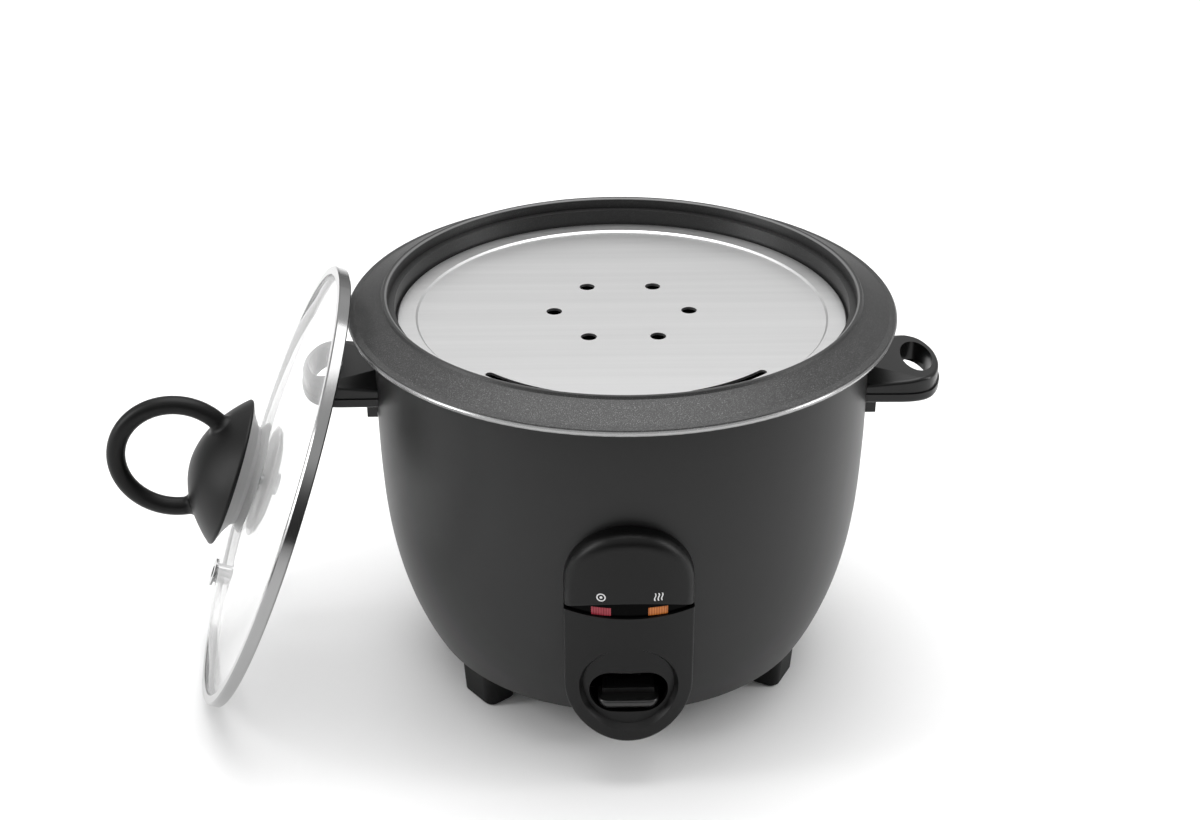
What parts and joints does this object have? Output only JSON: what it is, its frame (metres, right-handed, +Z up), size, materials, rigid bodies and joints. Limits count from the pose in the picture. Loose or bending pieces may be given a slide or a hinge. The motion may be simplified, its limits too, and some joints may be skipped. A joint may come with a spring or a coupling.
{
  "type": "egg cooker",
  "caption": "Small drum egg cooker: painted bowl body, inner pot with steamer plate, glass lid standing at its side, front tower with lever and lamps.",
  "frame": {"origin": "on the axis of the pot at table height", "axes": "+Z up along the axis of the pot, -Y towards the control tower, +X towards the right handle"},
  "size_m": [0.3241, 0.2105, 0.1664],
  "materials": {
    "body_paint": "matte",
    "pot_coating": "satin",
    "bright_aluminium": "satin",
    "plain_aluminium": "satin",
    "steel": "satin",
    "polished_steel": "gloss",
    "brass": "satin",
    "clear_glass": "gloss",
    "dark_ceramic": "matte",
    "black_plastic": "satin",
    "light_strip": "gloss",
    "red_lens": "gloss",
    "amber_lens": "gloss",
    "clear_rubber": "satin"
  },
  "bodies": {
    "cooker_body": {"body_shell": "body_paint", "inner_liner": "plain_aluminium", "base_cover": "black_plastic", "feet": "black_plastic", "foot_screws": "polished_steel", "stand_posts": "steel", "post_screws": "polished_steel", "heating_plate": "plain_aluminium", "heating_element": "steel", "element_terminals": "polished_steel", "keep_warm_heater": "dark_ceramic", "thermal_fuse": "polished_steel", "fuse_clip": "steel", "thermostat_housing": "steel", "cap_spring": "polished_steel", "lever_bracket": "steel", "pivot_pin": "polished_steel", "microswitch": "black_plastic", "switch_bracket": "steel", "terminal_block": "black_plastic", "power_inlet": "black_plastic", "inlet_pins": "brass", "tower_hood": "black_plastic", "tower_cover": "black_plastic", "light_strip": "light_strip", "lens_cook": "red_lens", "lens_warm": "amber_lens", "indicator_lamps": "clear_glass", "handle_right": "black_plastic", "handle_left": "black_plastic", "handle_screws": "polished_steel"},
    "lid": {"lid_glass": "clear_glass", "lid_band": "polished_steel", "vent_grommet": "polished_steel", "lid_knob": "black_plastic", "knob_spacer": "clear_rubber", "knob_washer": "clear_rubber", "knob_screw": "polished_steel"},
    "pot": {"inner_pot": "pot_coating"},
    "steamer": {"steamer_plate": "bright_aluminium"},
    "lever": {"lever_arm": "steel", "lever_paddle": "black_plastic"},
    "magnet": {"thermostat_magnet": "dark_ceramic", "release_rod": "polished_steel"},
    "plunger": {"switch_plunger": "black_plastic"},
    "cap": {"thermostat_cap": "plain_aluminium", "thermostat_ferrite": "dark_ceramic"}
  },
  "joints": [
    {"name": "lid_lift", "type": "slide", "parent": "cooker_body", "child": "lid", "axis": [0, 0, 1], "range_m": [0, 0.25]},
    {"name": "pot_lift", "type": "slide", "parent": "cooker_body", "child": "pot", "axis": [0, 0, 1], "range_m": [0, 0.1251]},
    {"name": "steamer_lift", "type": "slide", "parent": "pot", "child": "steamer", "axis": [0, 0, 1], "range_m": [0, 0.06]},
    {"name": "cook_lever", "type": "hinge", "parent": "cooker_body", "child": "lever", "pos_m": [0, -0.032, 0.036], "axis": [-1, 0, 0], "range_deg": [0, 7]},
    {"name": "magnet_drop", "type": "slide", "parent": "cooker_body", "child": "magnet", "axis": [0, 0, -1], "range_m": [0, 0.00395]},
    {"name": "switch_press", "type": "slide", "parent": "cooker_body", "child": "plunger", "axis": [0, 0, 1], "range_m": [0, 0.00101]},
    {"name": "cap_float", "type": "slide", "parent": "cooker_body", "child": "cap", "axis": [0, 0, 1], "range_m": [0, 0.00251], "deforming": ["cap_spring"]}
  ],
  "couplings": [
    {"joint": "pot_lift", "follows": "lid_lift", "ratio": 0.5},
    {"joint": "cap_float", "follows": "lid_lift", "ratio": 0.01},
    {"joint": "magnet_drop", "follows": "cook_lever", "m_per_rad": 0.032},
    {"joint": "switch_press", "follows": "cook_lever", "m_per_rad": 0.0082}
  ]
}
